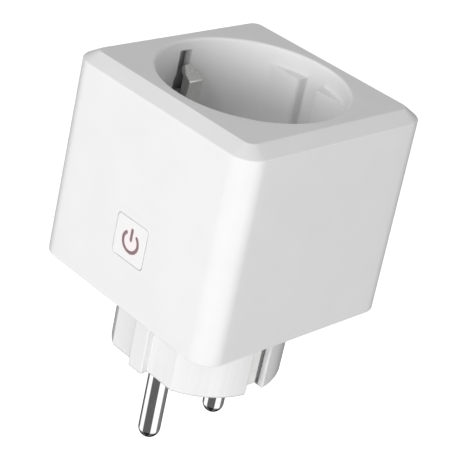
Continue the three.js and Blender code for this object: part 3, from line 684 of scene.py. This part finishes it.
def build_well():
    lower = well_outline()
    circle = at_radius(lower, WELL_RADIUS)
    top = HEIGHT - TOP_PLATE - HAIRLINE
    loops = [
        level(at_radius(lower, WELL_OUTER), UNDER_FLOOR_Z),
        level(at_radius(lower, WELL_OUTER), top),
        level(circle, top),
    ]

    def ledge_loop(distance, z, from_wall):
        """A loop this far from the wall, or from the lands' faces, that stays on its part of the ledge."""
        most = 0.6 if from_wall else 0.3
        loop = []
        for low, high in zip(lower, circle):
            start, end = (high, low) if from_wall else (low, high)
            start, end = Vector(start), Vector(end)
            width = (end - start).length
            share = min(distance / width, most) if width > HAIRLINE else 0
            loop.append(Vector((*start.lerp(end, share), z)))
        return loop

    # The ledge on the lands' tops: hollow where it meets the wall, and a rounded edge.
    for turn in quarter_turns(5):
        z = LAND_Z + LEDGE_FILLET * (1 - math.sin(turn))
        loops.append(ledge_loop(LEDGE_FILLET * (1 - math.cos(turn)), z, True))
    for turn in quarter_turns(5):
        z = LAND_Z - LAND_FILLET * (1 - math.cos(turn))
        loops.append(ledge_loop(LAND_FILLET * (1 - math.sin(turn)), z, False))
    for turn in quarter_turns(5):
        shrink = 1 - FLOOR_FILLET * (1 - math.cos(turn)) / WELL_RADIUS
        z = FLOOR_Z + FLOOR_FILLET * (1 - math.sin(turn))
        loops.append(level([(x * shrink, y * shrink) for x, y in lower], z))
    well = loft("outlet_recess", loops)

    slot = slot_outline()
    boss = [(BOSS_RADIUS, well_low.z), (BOSS_RADIUS, UNDER_FLOOR_Z + 0.1 * MM)]
    screw_hole = [(SCREW_HOLE, 0), (SCREW_HOLE, FLOOR_Z - 0.5 * MM)]
    # The pin hole opens towards the well in a funnel, drawn on past the floor so that it cuts through.
    pin_hole = PIN_RADIUS + 0.55 * MM
    funnel = [
        (pin_hole, 0),
        (pin_hole, FLOOR_Z - 0.7 * MM),
        (pin_hole + 0.65 * MM, FLOOR_Z),
        (pin_hole + 1.65 * MM, FLOOR_Z + 1 * MM),
    ]
    for side in (-1, 1):
        near, far = sorted((side * (WELL_RADIUS - 1 * MM), side * (WELL_OUTER + 1 * MM)))
        cut(well, prism("slot", slot, near, far, lambda a, b, depth: Vector((depth, a, b))))
        join(well, turned("boss", boss, 32, side * BOSS_X))
        hole = turned("hole", screw_hole, 24, side * BOSS_X)
        cut(well, hole, turned("funnel", funnel, 64, 0, side * PIN_Y))
    return smooth(well, 34)


def build_earth_clip(side):
    """Spring clip for a plug's earth strip: it bulges into the well and leans back to a narrow tip."""
    tip_z = CLIP_BELLY.y + CLIP_TIP_RISE
    # The face towards the well from foot to tip, then the back face down: X, height, and rounding in mm.
    corners = [
        (20.9 * MM, FLOOR_Z + 0.6 * MM, 0.2),
        (20.7 * MM, FLOOR_Z + 2.8 * MM, 0.3),
        (15.4 * MM, FLOOR_Z + 4.05 * MM, 0.9),
        (CLIP_BELLY.x, CLIP_BELLY.y, 0.5),
        (18.15 * MM, tip_z, 0.12),
        (18.6 * MM, CLIP_BELLY.y + 1.95 * MM, 0.12),
        (16.9 * MM, CLIP_BELLY.y + 0.3 * MM, 0.4),
        (17.1 * MM, FLOOR_Z + 5.2 * MM, 0.5),
        (20.9 * MM, FLOOR_Z + 4.2 * MM, 0.2),
        (21.45 * MM, FLOOR_Z + 2.9 * MM, 0.3),
        (21.45 * MM, FLOOR_Z + 0.6 * MM, 0.2),
    ]
    outline = softened_loop([(x, z) for x, z, _ in corners], [radius * MM for _, _, radius in corners], 6)
    taper = [
        (-CLIP_HALF, FLOOR_Z),
        (CLIP_HALF, FLOOR_Z),
        (CLIP_HALF, CLIP_BELLY.y + CLIP_TAPER_RISE),
        (CLIP_TIP_HALF, tip_z),
        (CLIP_TIP_HALF, BIG),
        (-CLIP_TIP_HALF, BIG),
        (-CLIP_TIP_HALF, tip_z),
        (-CLIP_HALF, CLIP_BELLY.y + CLIP_TAPER_RISE),
    ]
    wide = 2 * CLIP_HALF
    clip = prism("earth_spring", outline, -wide, wide, lambda a, b, depth: Vector((side * a, depth, b)))
    envelope = prism("envelope", taper, -BIG, BIG, lambda a, b, depth: Vector((depth, a, b)))
    boolean(clip, [envelope], "INTERSECT")
    return smooth(clip, 40, bevel=CLIP_EDGE)


# ---- Plug ----------------------------------------------------------------------------------------


def plug_outline(inset=0.0):
    """Outline of the plug body set in by a distance: a circle with flats, ribs and contact notches."""
    radius = PLUG_RADIUS - inset
    flat, rib_half, rib_face = PLUG_FLAT - inset, RIB_HALF - inset, RIB_FACE - inset
    notch_half, notch_floor = NOTCH_HALF + inset, NOTCH_FLOOR - inset
    notch_angle = math.asin(notch_half / radius)
    flat_angle = math.asin(flat / radius)
    convex = max(PLUG_CONVEX - inset, 0.06 * MM)
    # The rounded corners at the arc's ends take the place of its first and last points.
    taken = 5
    round_part = arc(radius, notch_angle, flat_angle, 40)
    into_arc = softened(
        [(notch_floor, 0), (notch_floor, notch_half), round_part[0], round_part[taken - 1]],
        [PLUG_CONCAVE, convex],
    )
    out_of_arc = softened(
        [round_part[-taken], round_part[-1], (rib_half, flat), (rib_half, rib_face), (0, rib_face)],
        [convex, PLUG_CONCAVE, convex],
    )
    return mirrored_quarters(into_arc + round_part[taken:-taken] + out_of_arc)


def contact_room(side):
    """Cutting solids that free an earth contact: its way up, its hook's pocket and the gap round it."""

    def outwards(near, far):
        return sorted((side * near, side * far))

    back = outwards(NOTCH_FLOOR, STRIP_X + STRIP_THICK + 0.3 * MM)
    passage = block("passage", (back[0], -NOTCH_HALF, -1 * MM), (back[1], NOTCH_HALF, FLANGE_THICK + 1 * MM))

    hook = outwards(14.2 * MM, NOTCH_FLOOR + 0.1 * MM)
    hook_half = 1.3 * MM
    pocket = block(
        "pocket", (hook[0], -hook_half, STRIP_END + 0.1 * MM), (hook[1], hook_half, STRIP_END + 1.3 * MM)
    )

    # The notch floor is undercut along one edge of the strip, and a little way across below its end.
    floor = NOTCH_FLOOR + 0.05 * MM
    mouth = [Vector((floor, STRIP_HALF)), Vector((NOTCH_FLOOR + 1.2 * MM, NOTCH_HALF))]
    undercut = Vector((-1.7, 1.96)) * MM
    slant = [*mouth, mouth[1] + undercut, mouth[0] + undercut]
    beside = prism(
        "beside", slant, STRIP_END - 0.7 * MM, -1 * MM, lambda a, b, depth: Vector((side * a, b, depth))
    )
    gap = outwards(13.9 * MM, floor)
    beyond = block(
        "beyond",
        (gap[0], -0.4 * MM, STRIP_END - 0.9 * MM),
        (gap[1], STRIP_HALF + 0.1 * MM, STRIP_END - 0.5 * MM),
    )
    return passage, pocket, beside, beyond


def build_plug():
    outline = plug_outline()
    loops = []
    for turn in quarter_turns(6):
        inset = PLUG_EDGE * (1 - math.sin(turn))
        loops.append(level(plug_outline(inset), -PLUG_LENGTH + PLUG_EDGE * (1 - math.cos(turn))))
    loops.append(level(outline, 0))
    directions = unfolded(outline)
    flange_half = half_side(0) - WALL - FLANGE_GAP
    for z in (0, FLANGE_THICK):
        loops.append(level(on_square(directions, flange_half, INNER_CORNER), z))
    for z in (FLANGE_THICK, -PLUG_LENGTH + PLUG_END_WALL):
        loops.append(level(at_radius(directions, PLUG_BORE), z))
    plug = loft("plug_body", loops)

    # A snug hole for the pin, with a small chamfer at the plug's end.
    snug = PIN_RADIUS + 0.03 * MM
    pin_hole = [
        (snug + 0.35 * MM, -PLUG_LENGTH - 0.2 * MM),
        (snug, -PLUG_LENGTH + 0.15 * MM),
        (snug, -PLUG_LENGTH + 5 * MM),
    ]
    for side in (-1, 1):
        cut(plug, *contact_room(side), turned("pin_hole", pin_hole, 64, 0, side * PIN_Y))

    post = [(POST_RADIUS, FLANGE_THICK - 0.1 * MM), (POST_RADIUS, POST_TOP)]
    peg = [(PEG_RADIUS, POST_TOP - 0.1 * MM), (PEG_RADIUS, PEG_TOP)]
    screw_hole = [(SCREW_HOLE, 1 * MM), (SCREW_HOLE, BIG)]
    for x, y in ((1, -1), (-1, 1), (1, 1), (-1, -1)):
        at = (x * POST_AT, y * POST_AT)
        join(plug, turned("post", post, 32, *at))
        if x == y:
            join(plug, turned("peg", peg, 24, *at))
        else:
            cut(plug, turned("hole", screw_hole, 24, *at))
    return smooth(plug, 30)


def build_pin(name, side):
    """Turned pin with a round tip; its shoulder sits inside the plug's end wall."""
    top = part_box(name)[1].z
    neck_z = PIN_SHOULDER_Z + PIN_SHOULDER_THICK
    tip = [(r, PIN_TIP_Z + PIN_RADIUS + z) for r, z in arc(PIN_RADIUS, -math.pi / 2, 0, 14)]
    body = [
        (PIN_RADIUS, PIN_SHOULDER_Z),
        (PIN_SHOULDER_RADIUS, PIN_SHOULDER_Z),
        (PIN_SHOULDER_RADIUS, neck_z),
        (PIN_NECK_RADIUS, neck_z),
        (PIN_NECK_RADIUS, PIN_TAIL_Z),
        (PIN_TAIL_RADIUS, PIN_TAIL_Z),
        (PIN_TAIL_RADIUS, top),
    ]
    return smooth(turned(name + "_turned", tip + body, 96, 0, side * PIN_Y), 30)


def build_earth_strip(name, side):
    """One stamping: the strip in the plug's notch, a shelf under the board and a riser behind the well."""
    shelf_z, shelf_half, shelf_inner_x = 3.4 * MM, 3.0 * MM, 12.4 * MM
    riser_x = 21.7 * MM
    hook_x, hook_half, hook_z = 14.5 * MM, 1 * MM, STRIP_END + 0.4 * MM
    rivet_x, rivet_radius = 13.8 * MM, 1.1 * MM
    shelf_top = shelf_z + STRIP_THICK
    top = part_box(name)[1].z

    def plate(x_range, half, z_range):
        low, high = sorted(side * x for x in x_range)
        return block("plate", (low, -half, z_range[0]), (high, half, z_range[1]))

    strip = plate((STRIP_X, STRIP_X + STRIP_THICK), STRIP_HALF, (STRIP_END, shelf_top))
    strip.name = name + "_stamping"
    hook = plate((hook_x, STRIP_X + 0.1 * MM), hook_half, (hook_z, hook_z + STRIP_THICK))
    shelf = plate((shelf_inner_x, riser_x + STRIP_THICK), shelf_half, (shelf_z, shelf_top))
    riser = plate((riser_x, riser_x + STRIP_THICK), shelf_half, (shelf_z, top))
    join(strip, hook, shelf, riser)
    cut(strip, turned("rivet_hole", [(rivet_radius, 0), (rivet_radius, 6 * MM)], 24, side * rivet_x))
    return smooth(strip, 40, bevel=STRIP_EDGE)


# ---- Power button --------------------------------------------------------------------------------


def stroke_outline(centreline, half):
    """Outline of a stroke of even width with round ends along a line of points."""
    points = [Vector(p) for p in centreline]
    directions = [(b - a).normalized() for a, b in zip(points, points[1:])]
    directions.append(directions[-1])
    left, right = [], []
    for point, direction in zip(points, directions):
        across = Vector((-direction.y, direction.x)) * half
        left.append(tuple(point + across))
        right.append(tuple(point - across))
    end = math.atan2(directions[-1].y, directions[-1].x)
    start = math.atan2(directions[0].y, directions[0].x)
    end_cap = arc(half, end - math.pi / 2, end + math.pi / 2, 8, tuple(points[-1]))
    start_cap = arc(half, start + math.pi / 2, start + 1.5 * math.pi, 8, tuple(points[0]))
    return right[:-1] + end_cap + list(reversed(left[1:-1])) + start_cap[:-1]


def power_symbol(extra, back, front):
    """The two strokes of the power symbol as solids, each wider by extra all round."""
    ring_start = math.pi / 2 + SYMBOL_OPENING
    ring_end = 2.5 * math.pi - SYMBOL_OPENING
    ring = arc(SYMBOL_RADIUS, ring_start, ring_end, 40, (SYMBOL_X, -SYMBOL_DROP))
    bar = [
        (SYMBOL_X, -SYMBOL_DROP + SYMBOL_BAR_START + SYMBOL_HALF),
        (SYMBOL_X, -SYMBOL_DROP + SYMBOL_BAR_TOP - SYMBOL_HALF),
    ]
    solids = []
    for centreline in (ring, bar):
        outline = stroke_outline(centreline, SYMBOL_HALF + extra)
        solids.append(loft("stroke", [in_button_frame(outline, out) for out in (back, front)]))
    return solids


def build_button():
    flange_half = BUTTON_HALF + BUTTON_FLANGE
    hollow_half = BUTTON_HALF - BUTTON_SIDE_WALL
    sections = [
        (hollow_half, BUTTON_PROUD - SKIN),
        (hollow_half, BUTTON_BACK),
        (flange_half, BUTTON_BACK),
        (flange_half, BUTTON_FLANGE_FRONT),
        (BUTTON_HALF, BUTTON_FLANGE_FRONT),
    ]
    front = [
        (BUTTON_HALF, BUTTON_FLANGE_FRONT / 2),
        (BUTTON_HALF, BUTTON_PROUD),
        (BUTTON_HALF - 1 * MM, BUTTON_PROUD),
    ]
    sections += softened(front, [BUTTON_EDGE])
    loops = []
    for half, out in sections:
        radius = max(BUTTON_CORNER + half - BUTTON_HALF, 0.3 * MM)
        loops.append(in_button_frame(rounded_square(half, radius, 8, 1), out))
    cap = loft("button_cap", loops)
    cut(cap, *power_symbol(SYMBOL_GAP, -5 * MM, 5 * MM))
    return smooth(cap, 30)


def build_light_guide():
    """A plate behind the cap's skin, with the symbol's strokes standing on it."""
    plate_front = BUTTON_PROUD - SKIN - 0.2 * MM
    outline = rounded_square(BUTTON_HALF - 1.0 * MM, 0.4 * MM, 4, 1)
    guide = loft(
        "symbol_light_guide", [in_button_frame(outline, out) for out in (plate_front - 1 * MM, plate_front)]
    )
    join(guide, *power_symbol(0, plate_front - 0.1 * MM, BUTTON_PROUD - 0.05 * MM))
    return smooth(guide, 30)


# ---- Putting the pieces on their bodies ----------------------------------------------------------

white = MATERIALS["white_plastic"]
nickel = MATERIALS["nickel"]
finish_piece(build_housing(), "housing", white, ["outer_housing"])
finish_piece(build_well(), "housing", white, ["outlet_well"])
finish_piece(build_plug(), "housing", plug_plastic, ["plug_base"])
finish_piece(build_button(), "button", MATERIALS["button_white"], ["power_button"])
finish_piece(build_light_guide(), "button", MATERIALS["symbol_smoke"], ["light_guide"])
for pin_name, pin_side in (("pin_line", -1), ("pin_neutral", 1)):
    finish_piece(build_pin(pin_name, pin_side), "housing", pin_chrome, [pin_name])
for side_name, side_sign in (("left", -1), ("right", 1)):
    bracket = "earth_bracket_" + side_name
    finish_piece(build_earth_strip(bracket, side_sign), "housing", earth_tin, [bracket])
    earth_clip = build_earth_clip(side_sign)
    earth_clip.name = "earth_spring_" + side_name
    finish_piece(earth_clip, "clip_" + side_name, nickel, ["earth_clip_" + side_name])
    # The clip's faces turned to +-Y get a second, darker metal: painted shade for the sides, which lie in
    # shadow inside the well.
    earth_clip.data.materials.append(painted_shade_sides)
    for face in earth_clip.data.polygons:
        face.material_index = 1 if abs(face.normal.y) > 0.5 else 0

for subpart in frame["record"]["subparts"]:
    node = frame["nodes"][subpart["node"]]
    if not node.hide_render:
        node.data.shade_smooth()
        node.data.set_sharp_from_angle(angle=math.radians(30))
        node.data.materials.clear()
        node.data.materials.append(MATERIALS[subpart["material_slot"]])

# ---- Stage, light and camera ---------------------------------------------------------------------


def build_floor():
    """Plain pale floor well below the plug, which floats as if held."""
    half, drop = 6.0, 60 * MM
    corners = [(-half, -half), (half, -half), (half, half), (-half, half)]
    floor = make_mesh("floor", level(corners, PIN_TIP_Z - drop), [(0, 1, 2, 3)])
    material = bpy.data.materials.new("floor_white")
    material.use_nodes = True
    shader = material.node_tree.nodes["Principled BSDF"]
    shader.inputs["Base Color"].default_value = (0.5, 0.5, 0.5, 1)
    shader.inputs["Roughness"].default_value = 1.0
    shader.inputs["Emission Color"].default_value = (1, 1, 1, 1)
    shader.inputs["Emission Strength"].default_value = 0.8
    floor.data.materials.append(material)
    floor.visible_diffuse = False
    floor.visible_glossy = False
    floor.visible_shadow = False


CAMERA_AZIMUTH = math.radians(41.23)
CAMERA_ELEVATION = math.radians(27.74)
CAMERA_ROLL = math.radians(12.16)
CAMERA_DISTANCE = 313.8 * MM
CAMERA_AIM = Vector((0.41, 0.36, 12.56)) * MM
FOCAL_LENGTH = 122.54


def direction(azimuth, elevation):
    """Unit vector; azimuth 0 is towards -Y and 90 degrees towards +X."""
    flat = math.cos(elevation)
    return Vector((flat * math.sin(azimuth), -flat * math.cos(azimuth), math.sin(elevation)))


def build_camera():
    camera = bpy.data.objects.new("camera", bpy.data.cameras.new("camera"))
    scene.collection.objects.link(camera)
    camera.data.lens = FOCAL_LENGTH
    camera.data.sensor_width = 36
    camera.data.clip_start = 0.01
    camera.data.clip_end = 50
    back = direction(CAMERA_AZIMUTH, CAMERA_ELEVATION)
    level_view = (-back).to_track_quat("-Z", "Y").to_matrix().to_4x4()
    place = Matrix.Translation(CAMERA_AIM + back * CAMERA_DISTANCE)
    camera.matrix_world = place @ level_view @ Matrix.Rotation(CAMERA_ROLL, 4, "Z")
    scene.camera = camera


# Soft boxes round the object: name, azimuth and elevation in degrees, power in watts.
STUDIO_LIGHTS = [
    ("key", 10, 12, 4.4),
    ("key_high", 10, 35, 1.7),
    ("corner", 50, 12, 1.6),
    ("corner_side", 70, 12, 1.3),
    ("right_low", 80, -20, 2.5),
    ("left_low", -10, -20, 0.9),
    ("left_high", -70, 35, 0.9),
    ("back_high", -150, 35, 2.0),
    ("back_right", 160, 12, 1.2),
    ("overhead", 0, 70, 0.2),
    ("back_fill", -135, -5, 3.2),
]
LIGHT_DISTANCE = 1.0
LIGHT_SIZE = 0.36


def area_light(name, azimuth, elevation, power):
    light = bpy.data.lights.new(name, "AREA")
    light.shape = "SQUARE"
    light.size = LIGHT_SIZE
    light.energy = power
    obj = bpy.data.objects.new(name, light)
    scene.collection.objects.link(obj)
    towards = direction(math.radians(azimuth), math.radians(elevation))
    obj.location = towards * LIGHT_DISTANCE + Vector((0, 0, 10 * MM))
    obj.rotation_mode = "QUATERNION"
    obj.rotation_quaternion = towards.to_track_quat("Z", "Y")
    obj.visible_camera = False
    obj.visible_glossy = False


def build_world():
    """White backdrop, even ambient light, and upright soft boxes that only gloss shows."""
    world = bpy.data.worlds.new("studio")
    scene.world = world
    world.use_nodes = True
    world.cycles.sampling_method = "NONE"
    nodes, links = world.node_tree.nodes, world.node_tree.links
    nodes.clear()

    def background(strength):
        node = nodes.new("ShaderNodeBackground")
        node.inputs["Strength"].default_value = strength
        return node

    def maths(operation, *values):
        node = nodes.new("ShaderNodeMath")
        node.operation = operation
        for socket, value in zip(node.inputs, values):
            if isinstance(value, float):
                socket.default_value = value
            else:
                links.new(value, socket)
        return node.outputs[0]

    def ranged(value, start, end, low, high):
        node = nodes.new("ShaderNodeMapRange")
        links.new(value, node.inputs["Value"])
        for socket, number in zip(("From Min", "From Max", "To Min", "To Max"), (start, end, low, high)):
            node.inputs[socket].default_value = number
        return node.outputs["Result"]

    def mixed(ray_kind, otherwise, shader):
        """The shader for one kind of ray, and another for all others."""
        node = nodes.new("ShaderNodeMixShader")
        links.new(ray_kind, node.inputs[0])
        links.new(otherwise.outputs[0], node.inputs[1])
        links.new(shader.outputs[0], node.inputs[2])
        return node

    ray = nodes.new("ShaderNodeLightPath")
    way = nodes.new("ShaderNodeTexCoord")
    axes = nodes.new("ShaderNodeSeparateXYZ")
    links.new(way.outputs["Generated"], axes.inputs[0])
    azimuth = maths("ARCTAN2", axes.outputs["X"], maths("MULTIPLY", axes.outputs["Y"], -1.0))
    turn = maths("MULTIPLY_ADD", azimuth, 1 / (2 * math.pi), 0.5)  # 0 to 1 once round, 0.5 at the front

    def banded(stops):
        """Brightness by azimuth, from (degrees, value) stops."""
        ramp_node = nodes.new("ShaderNodeValToRGB")
        links.new(turn, ramp_node.inputs["Fac"])
        ramp = ramp_node.color_ramp
        while len(ramp.elements) < len(stops):
            ramp.elements.new(0.5)
        for element, (degrees, value) in zip(ramp.elements, stops):
            element.position = degrees / 360 + 0.5
            element.color = (value, value, value, 1)
        return ramp_node.outputs["Color"]

    side_bands = banded(
        [(-180, 0.06), (-105, 0.06), (-75, 0.22), (-66, 1.3), (-24, 1.3), (-15, 0.14), (62, 0.14), (70, 1.4),
         (122, 1.4), (134, 0.22), (172, 0.22)]
    )
    upper_bands = banded(
        [(-180, 0.06), (-66, 0.22), (-58, 1.8), (-38, 1.8), (-30, 0.22), (105, 0.22), (120, 1.3), (138, 1.3),
         (147, 0.42), (165, 0.42), (180, 0.06)]
    )
    bands = nodes.new("ShaderNodeMix")
    bands.data_type = "RGBA"
    links.new(ranged(axes.outputs["Z"], 0.3, 0.5, 0.0, 1.0), bands.inputs["Factor"])
    links.new(side_bands, bands.inputs["A"])
    links.new(upper_bands, bands.inputs["B"])
    # The soft boxes fade out low down, where a pin's round tip looks.
    fade = ranged(axes.outputs["Z"], -0.8, -0.68, 0.12, 1.0)
    gloss = background(1.0)
    links.new(maths("MULTIPLY", bands.outputs["Result"], fade), gloss.inputs["Color"])

    ambient = background(0.27)
    backdrop = background(1.0)
    for node in (ambient, backdrop):
        node.inputs["Color"].default_value = (1, 1, 1, 1)
    not_camera = mixed(ray.outputs["Is Glossy Ray"], ambient, gloss)
    seen = mixed(ray.outputs["Is Camera Ray"], not_camera, backdrop)
    output = nodes.new("ShaderNodeOutputWorld")
    links.new(seen.outputs[0], output.inputs["Surface"])


build_floor()
build_camera()
build_world()
for name, azimuth, elevation, power in STUDIO_LIGHTS:
    area_light(name, azimuth, elevation, power)
scene.view_settings.view_transform = "Standard"
